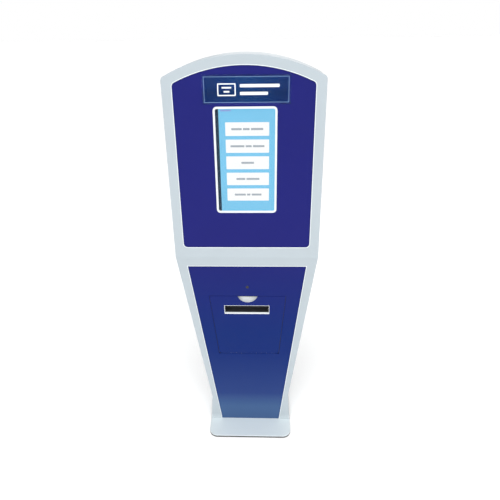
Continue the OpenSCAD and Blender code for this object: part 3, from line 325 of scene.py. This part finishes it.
MATERIALS = {
    # foot: the paler colour of the painted light on the foot
    "white_paint": powder_coat("white_paint", (0.42, 0.475, 0.51), foot=(0.57, 0.635, 0.665)),
    "dark_paint": powder_coat("dark_paint", (0.012, 0.013, 0.03)),
    "white_inner": powder_coat("white_inner", (0.84, 0.87, 0.88), 0.00002),
    "blue_acrylic": blue_acrylic(),
    "white_trim": moulded("white_trim", (0.70, 0.735, 0.755), (0.18, 0.28), 0.00001),
    "steel": galvanised("steel", (0.60, 0.62, 0.63)),
    "ballast_steel": metal("ballast_steel", (0.16, 0.16, 0.17), (0.5, 0.7), (1, 1, 1), 0.2, 90.0),
    "black_plastic": moulded("black_plastic", (0.028, 0.028, 0.031), (0.42, 0.58), 0.00005, 1500.0, 0.15),
    "black_gloss": moulded("black_gloss", (0.026, 0.026, 0.030), (0.10, 0.2), 0.00001, 2600.0, 0.15),
    "touch_glass": clear_plastic("touch_glass", (0.70, 0.85, 0.90), 0.03),
    "clear_acrylic": clear_plastic("clear_acrylic", (0.08, 0.22, 0.50), 0.05),
    "sign_blue": sign_ink(),
    "aluminium": metal("aluminium", (0.40, 0.41, 0.43), (0.30, 0.45), (1, 1, 40)),
    "circuit_green": circuit_board(),
    "rubber": rubber(),
    "gear_ivory": moulded("gear_ivory", (0.74, 0.69, 0.53), (0.35, 0.5), 0.00002, 1800.0),
    "brass": metal("brass", (0.78, 0.56, 0.24), (0.2, 0.35), (1, 30, 1)),
    "paper": paper(),
    "red_rocker": moulded("red_rocker", (0.42, 0.012, 0.012), (0.14, 0.24), 0.00001),
    "green_button": moulded("green_button", (0.02, 0.28, 0.09), (0.2, 0.3), 0.00001),
}
INK_LIGHT = printed("ink_light", (0.15, 0.26, 0.48))
INK_WHITE = printed("ink_white", (0.88, 0.91, 0.95))
INK_STRIP = printed("ink_strip", (0.006, 0.020, 0.045), level=0.05)
# pale colour of the painted highlight strips round the windows
HIGHLIGHT_STRIP = moulded("window_painted_highlight", (0.74, 0.79, 0.81), (0.25, 0.35), 0.00001)
LOOM_SLEEVE = braided()
CUP_GREY = moulded("cup_grey", (0.63, 0.66, 0.67), (0.25, 0.35), 0.00001)


# ---- Shapes ----
CHEST = 1.0   # height in metres that the front's outline runs round


def weigh_edges(mesh, inner):
    """Bevel weights of the sharp edges: 1 round the front's outline, inner everywhere else."""
    shape = bmesh.new()
    shape.from_mesh(mesh)
    weight = shape.edges.layers.float.new("bevel_weight_edge")
    for edge in shape.edges:
        if len(edge.link_faces) == 2 and edge.calc_face_angle() > SHARP:
            middle = (edge.verts[0].co + edge.verts[1].co) / 2
            front = min(face.normal.y for face in edge.link_faces) < -0.95
            outward = any(
                abs(f.normal.y) < 0.3 and f.normal.x * middle.x + f.normal.z * (middle.z - CHEST) > 0
                for f in edge.link_faces)
            edge[weight] = 1.0 if front and outward else inner
    shape.to_mesh(mesh)
    shape.free()


def softened(node, width, segments=2):
    """A copy of a CAD node's mesh with its sharp edges rounded to that width, which stands for the node."""
    mesh = NODES[node].data.copy()
    shape = bmesh.new()
    shape.from_mesh(mesh)
    bmesh.ops.remove_doubles(shape, verts=shape.verts, dist=SAME)
    bmesh.ops.dissolve_limit(shape, angle_limit=math.radians(0.4), verts=shape.verts, edges=shape.edges)
    shape.to_mesh(mesh)
    shape.free()
    piece = bpy.data.objects.new("look_" + node, mesh)
    bpy.context.scene.collection.objects.link(piece)
    mesh.shade_smooth()
    mesh.set_sharp_from_angle(angle=SHARP)
    if width:
        bevel = piece.modifiers.new("soft_edges", "BEVEL")
        bevel.width = width * MM
        bevel.segments = segments
        bevel.limit_method = "ANGLE"
        bevel.angle_limit = SHARP
        bevel.harden_normals = True
        bevel.use_clamp_overlap = True
        if node in OUTER_EDGES:
            weigh_edges(mesh, width / OUTER_EDGES[node])
            bevel.limit_method = "WEIGHT"
            bevel.width = OUTER_EDGES[node] * MM
            bevel.segments = 4
    mesh.materials.clear()
    mesh.materials.append(MATERIALS[SLOT_OF[node]])
    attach(piece, BODY_OF[node])
    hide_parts(node)
    return piece


def face_matrix(lean):
    """Frame of a front face at the knee crease: x across, y up the face, z out of it."""
    crease = Vector((0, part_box("front_frame")[0].y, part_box("head_shell")[0].z))
    up = Vector((0, math.sin(lean), math.cos(lean)))
    out = Vector((0, -math.cos(lean), math.sin(lean)))
    turn = Matrix((Vector((1, 0, 0)), up, out)).transposed().to_4x4()
    return Matrix.Translation(crease) @ turn


def face_box(node, face):
    """Lowest and highest corners of a CAD node in a face's own frame."""
    back = face.inverted()
    points = [back @ v.co for v in NODES[node].data.vertices]
    return [Vector([pick(p[i] for p in points) for i in range(3)]) for pick in (min, max)]


def round_corners(half_w, half_h, radius, steps=6):
    """Points round a rectangle with round corners, anticlockwise."""
    points = []
    for quarter, (sx, sy) in enumerate(((1, 1), (-1, 1), (-1, -1), (1, -1))):
        for i in range(steps + 1):
            a = math.radians(90 * (quarter + i / steps))
            x = sx * (half_w - radius) + radius * math.cos(a)
            points.append((x, sy * (half_h - radius) + radius * math.sin(a)))
    return points


def plate(name, outline, face, at, thick, material, body="root", hole=None):
    """A thin plate of an outline on a face, its back at the point at.

    hole is an inner outline with as many points as the outer one.
    """
    shape = bmesh.new()
    rings = []
    for loop in [outline] + ([hole] if hole else []):
        for z in (0, thick):
            rings.append([shape.verts.new((at[0] + x, at[1] + y, at[2] + z)) for x, y in loop])
    count = len(outline)

    def strip(a, b):
        for i in range(count):
            j = (i + 1) % count
            shape.faces.new((a[i], a[j], b[j], b[i]))

    strip(rings[0], rings[1])
    if hole:
        strip(rings[3], rings[2])
        strip(rings[1], rings[3])
        strip(rings[2], rings[0])
    else:
        shape.faces.new(rings[1])
        shape.faces.new(rings[0][::-1])
    mesh = bpy.data.meshes.new(name)
    shape.to_mesh(mesh)
    shape.free()
    mesh.transform(face)
    mesh.materials.append(material)
    piece = bpy.data.objects.new(name, mesh)
    bpy.context.scene.collection.objects.link(piece)
    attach(piece, body)
    return piece


# Rounding of the fascia's outline, in millimetres
OUTER_EDGES = {"front_frame": 2.8}
# Rounding of each node's edges, in millimetres
EDGES = {
    "front_frame": 0.9, "head_shell": 0.8, "pedestal_shell": 0.8, "foot_pan": 1.2, "head_panel": 0.4,
    "lower_panel": 0.4, "door_skin": 0.4, "screen_trim": 0.5, "sign_holder": 0.4, "lower_rear_door": 0.7,
    "head_rear_door": 0.7, "slot_liner": 0.3, "finger_cup": 0.3, "ticket_mouth": 0.5, "door_tray": 0.3,
    "lock_body": 0.4, "lock_plug": 0.25, "lower_lock_plug": 0.4, "head_lock_plug": 0.4, "rear_hinges": 0.25,
    "lower_door_fittings": 0.25, "head_door_fittings": 0.25, "power_panel": 0.4, "power_rocker": 0.4,
    "feed_button": 0.3, "printer_cover": 0.5, "mini_pc": 0.5, "fan_housing": 0.4, "lcd_module": 0.4,
    "cutter_block": 0.4, "print_head": 0.4, "power_supply": 0.3, "feed_motor": 0.6, "lock_cam": 0.3,
    "fascia_screws": 0.4, "clamp_nuts": 0.5, "base_plate": 0.5, "ballast_plate": 0.5, "foot_pads": 0.8,
    "printer_shelf": 0.3, "printer_frame": 0.3, "lower_carrier": 0.3, "lcd_bracket": 0.3, "roll_spindle": 0.4,
    "paper_roll": 0.4, "platen_roller": 0.4, "platen_axle": 0.3, "platen_gear": 0.12, "motor_pinion": 0.12,
    "circuit_boards": 0.2, "speaker": 0.6, "cutter_blade": 0.15, "fan_rotor": 0.25, "rear_gaskets": 0.2,
    "touch_glass": 0.3, "sign_print": 0.0, "wiring_loom": 0.3,
    "door_hinge_fixed": 0.15, "door_hinge_moving": 0.15, "door_hinge_pin": 0.15,
}
LOOKS = {node: softened(node, width) for node, width in EDGES.items()}
LOOKS["wiring_loom"].data.materials[0] = LOOM_SLEEVE
LOOKS["finger_cup"].data.materials[0] = CUP_GREY

HEAD_LEAN, LOWER_LEAN = math.radians(2), math.radians(-6)
HEAD, LOWER = face_matrix(HEAD_LEAN), face_matrix(LOWER_LEAN)
BEAD_W, BEAD_T = 2.2 * MM, 0.25 * MM


def open_window(loop):
    """The window's part of an outline whose window runs out through its lower edge."""
    lowest = min(y for _, y in loop)
    at_foot = [i for i, (_, y) in enumerate(loop) if y < lowest + MM]
    first, last = sorted(sorted(at_foot, key=lambda i: abs(loop[i][0]))[:2])
    paths = loop[first:last + 1], loop[last:] + loop[:first + 1]
    return min(paths, key=lambda path: max(abs(x) for x, _ in path))


NEAR_PLANE = 1.2 * MM   # how far from the fascia's face its own faces may lie


def window_outline(face):
    """Points round the window in a flat face of the fascia, anticlockwise."""
    shape = bmesh.new()
    shape.from_mesh(NODES["front_frame"].data)
    shape.transform(face.inverted())
    bmesh.ops.remove_doubles(shape, verts=shape.verts, dist=SAME)
    shape.normal_update()
    flat = {f for f in shape.faces if f.normal.z > 0.999 and abs(f.calc_center_median().z) < NEAR_PLANE}
    rim = [e for e in shape.edges if sum(f in flat for f in e.link_faces) == 1]
    after = {}
    for edge in rim:
        for vert in edge.verts:
            after.setdefault(vert, []).append(edge)
    loops, left = [], set(rim)
    while left:
        edge = left.pop()
        first, here = edge.verts
        loop = [first]
        while here != first:
            loop.append(here)
            edge = next(e for e in after[here] if e in left)
            left.discard(edge)
            here = edge.other_vert(here)
        loops.append([(v.co.x, v.co.y) for v in loop])
    shape.free()
    if len(loops) == 1:
        window = open_window(loops[0])
    else:
        window = sorted(loops, key=lambda loop: max(x for x, _ in loop))[-2]
    area = sum(a[0] * b[1] - b[0] * a[1] for a, b in zip(window, window[1:] + window[:1]))
    return window if area > 0 else window[::-1]


def painted_highlight_strip(name, face):
    """A thin pale strip round a window of the fascia, a painted highlight on the window's lip."""
    inner = window_outline(face)
    outer = []
    for i, (x, y) in enumerate(inner):
        (ax, ay), (bx, by) = inner[i - 1], inner[(i + 1) % len(inner)]
        before = Vector((y - ay, ax - x)).normalized()
        behind = Vector((by - y, x - bx)).normalized()
        out = (before + behind).normalized()
        reach = BEAD_W / max(0.5, out.dot(before))
        outer.append((x + out.x * reach, y + out.y * reach))
    seated = BEAD_T - 0.05 * MM
    plate(name, outer, face, (0, 0, -seated), BEAD_T, HIGHLIGHT_STRIP, hole=inner)


# painted highlights round the head's window and the lower window
painted_highlight_strip("head_window_painted_highlight", HEAD)
painted_highlight_strip("lower_window_painted_highlight", LOWER)


# Lengths of the grey bars that stand for the words on each choice
WORDS = [[w * MM for w in row] for row in ((34, 22, 40), (46, 20, 38), (42,), (30, 44), (38, 12, 34))]


def display():
    """Picture on the screen: a dark strip, a sky-blue ground, a plain mark, five choices with grey bars."""
    word_gap = 4 * MM
    trim_low, trim_high = face_box("screen_trim", HEAD)
    glass_low, _ = face_box("touch_glass", HEAD)
    border = 7 * MM
    left, right = trim_low.x + border, trim_high.x - border
    bottom, top = trim_low.y + border, trim_high.y - border
    back = glass_low.z + 0.3 * MM
    thick = 0.2 * MM
    dark_strip = 10 * MM
    picture_w, picture_h = right - left - dark_strip + 2 * MM, top - bottom + 4 * MM
    middle_x, middle_y = left + dark_strip + picture_w / 2, (bottom + top) / 2
    centre = HEAD @ Vector((middle_x, middle_y, back))
    sky = lit("screen_sky", (0.150, 0.556, 0.855), 0.98, 0.04, centre, 0.22)
    plate("screen_strip", round_corners(dark_strip / 2 + 2 * MM, picture_h / 2, 1 * MM), HEAD,
          (left + dark_strip / 2 - 1 * MM, middle_y, back - thick), thick, INK_STRIP)
    tile_white = lit("screen_tile", (0.97, 0.98, 0.98), 0.96, 0.02)
    grey = lit("screen_grey", (0.36, 0.41, 0.46), 0.95, 0.05)
    violet = lit("screen_violet", (0.22, 0.32, 0.70), 0.95, 0.05)
    plate("screen_picture", round_corners(picture_w / 2, picture_h / 2, 1 * MM), HEAD,
          (middle_x, middle_y, back), thick, sky)
    tile_w, tile_h, pitch = 143 * MM, 43.5 * MM, 55.5 * MM
    first = top - 43 * MM - tile_h / 2
    for row in range(5):
        y = first - row * pitch
        plate(f"screen_tile_{row + 1}", round_corners(tile_w / 2, tile_h / 2, 2.5 * MM), HEAD,
              (middle_x, y, back + thick), thick, tile_white)
        x = middle_x - (sum(WORDS[row]) + word_gap * (len(WORDS[row]) - 1)) / 2
        for place, width in enumerate(WORDS[row]):
            plate(f"screen_word_{row + 1}_{place + 1}", round_corners(width / 2, 3.3 * MM, 1.5 * MM), HEAD,
                  (x + width / 2, y, back + 2 * thick), thick, grey)
            x += width + word_gap
    plate("screen_mark", round_corners(17 * MM, 2.6 * MM, 1.5 * MM), HEAD,
          (left + dark_strip + 24 * MM, top - 6 * MM, back + thick), thick, violet)


def sign():
    """Light border of the sign, and a plain ticket and two bars in white."""
    low, high = face_box("sign_print", HEAD)
    half_w, half_h = (high.x - low.x) / 2, (high.y - low.y) / 2
    x, y = (low.x + high.x) / 2, (low.y + high.y) / 2
    line, thick = 1.5 * MM, 0.15 * MM
    plate("sign_border", round_corners(half_w, half_h, 1.2 * MM), HEAD, (x, y, high.z), thick, INK_LIGHT,
          hole=round_corners(half_w - line, half_h - line, 0.6 * MM))
    ticket_w, ticket_h, bar = 29 * MM, 19 * MM, 3.6 * MM
    ticket_x = x - 62 * MM
    plate("sign_ticket", round_corners(ticket_w, ticket_h, 3 * MM), HEAD, (ticket_x, y, high.z), thick,
          INK_WHITE, hole=round_corners(ticket_w - bar, ticket_h - bar, 1.5 * MM))
    for i, width in enumerate((15, 9)):
        plate(f"sign_ticket_line_{i + 1}", round_corners(width * MM, 2.4 * MM, 1 * MM), HEAD,
              (ticket_x, y + (6 - 12 * i) * MM, high.z), thick, INK_WHITE)
    bars = 62, 44
    for i, width in enumerate(bars):
        bar_x = x + (42 - bars[0] + width) * MM
        plate(f"sign_bar_{i + 1}", round_corners(width * MM, 4.8 * MM, 2.4 * MM), HEAD,
              (bar_x, y + (11.5 - 23 * i) * MM, high.z), thick, INK_WHITE)


display()
sign()


# ---- Studio ----
def floor():
    """A pale flat floor, far wider than any view of the object."""
    reach = 40.0
    mesh = bpy.data.meshes.new("studio_floor")
    corners = [(x * reach, y * reach, 0.0) for x, y in ((-1, -1), (1, -1), (1, 1), (-1, 1))]
    mesh.from_pydata(corners, [], [(0, 1, 2, 3)])
    s = Surface("studio_floor", IOR=1.2, Roughness=0.8, Specular_IOR_Level=0.1)
    s.drift((0.95, 0.95, 0.95), 0.01, 0.8)
    mesh.materials.append(s.material)
    plane = bpy.data.objects.new("studio_floor", mesh)
    bpy.context.scene.collection.objects.link(plane)


def soft_light(name, place, target, size, power, color=(1, 1, 1)):
    lamp = bpy.data.lights.new(name, "AREA")
    lamp.shape = "SQUARE"
    lamp.size = size
    lamp.energy = power
    lamp.color = color
    made = bpy.data.objects.new(name, lamp)
    bpy.context.scene.collection.objects.link(made)
    made.location = place
    made.rotation_euler = (Vector(target) - Vector(place)).to_track_quat("-Z", "Y").to_euler()


def sun(name, towards, strength):
    """Broad even light from that direction."""
    lamp = bpy.data.lights.new(name, "SUN")
    lamp.angle = math.radians(50)
    lamp.energy = strength
    made = bpy.data.objects.new(name, lamp)
    bpy.context.scene.collection.objects.link(made)
    made.rotation_euler = Vector(towards).to_track_quat("Z", "Y").to_euler()


def sky(strength, horizon):
    """Even sky that grows brighter in a narrow band at the horizon."""
    world = bpy.data.worlds.new("studio")
    world.use_nodes = True
    tree = world.node_tree
    place = tree.nodes.new("ShaderNodeTexCoord")
    split = tree.nodes.new("ShaderNodeSeparateXYZ")
    band = tree.nodes.new("ShaderNodeMapRange")
    band.interpolation_type = "SMOOTHSTEP"
    for socket, value in (("From Min", 0.07), ("From Max", 0.35), ("To Min", horizon), ("To Max", strength)):
        band.inputs[socket].default_value = value
    tree.links.new(place.outputs["Generated"], split.inputs["Vector"])
    tree.links.new(split.outputs["Z"], band.inputs["Value"])
    tree.links.new(band.outputs["Result"], tree.nodes["Background"].inputs["Strength"])
    tree.nodes["Background"].inputs["Color"].default_value = (1.0, 1.0, 1.0, 1)
    bpy.context.scene.world = world


def camera():
    """Camera at standing eye height, a little to the right, looking down at the kiosk."""
    yaw, pitch, roll = (math.radians(a) for a in (-2.19, 26.72, 0.86))
    forward = Vector((math.sin(yaw) * math.cos(pitch), math.cos(yaw) * math.cos(pitch), -math.sin(pitch)))
    level = Vector((math.cos(yaw), -math.sin(yaw), 0))
    above = level.cross(forward)
    right = math.cos(roll) * level - math.sin(roll) * above
    up = math.cos(roll) * above + math.sin(roll) * level
    turn = Matrix((right, up, -forward)).transposed().to_4x4()
    eye = bpy.data.cameras.new("camera")
    eye.lens = 33.48
    eye.sensor_width = 36
    made = bpy.data.objects.new("camera", eye)
    bpy.context.scene.collection.objects.link(made)
    made.matrix_world = Matrix.Translation((0.0705, -1.697, 1.705)) @ turn
    bpy.context.scene.camera = made


floor()
bpy.context.scene.view_settings.view_transform = "Standard"
sky(0.42, 1.0)
sun("daylight", (0.03, -0.57, 0.82), 2.55)
soft_light("key", (-1.9, -2.3, 2.9), (0, 0, 0.8), 2.4, 16)
soft_light("fill", (2.3, -1.6, 2.0), (0, 0, 0.8), 2.2, 8)
soft_light("back", (0.4, 2.2, 2.8), (0, 0, 0.9), 2.0, 14)
camera()
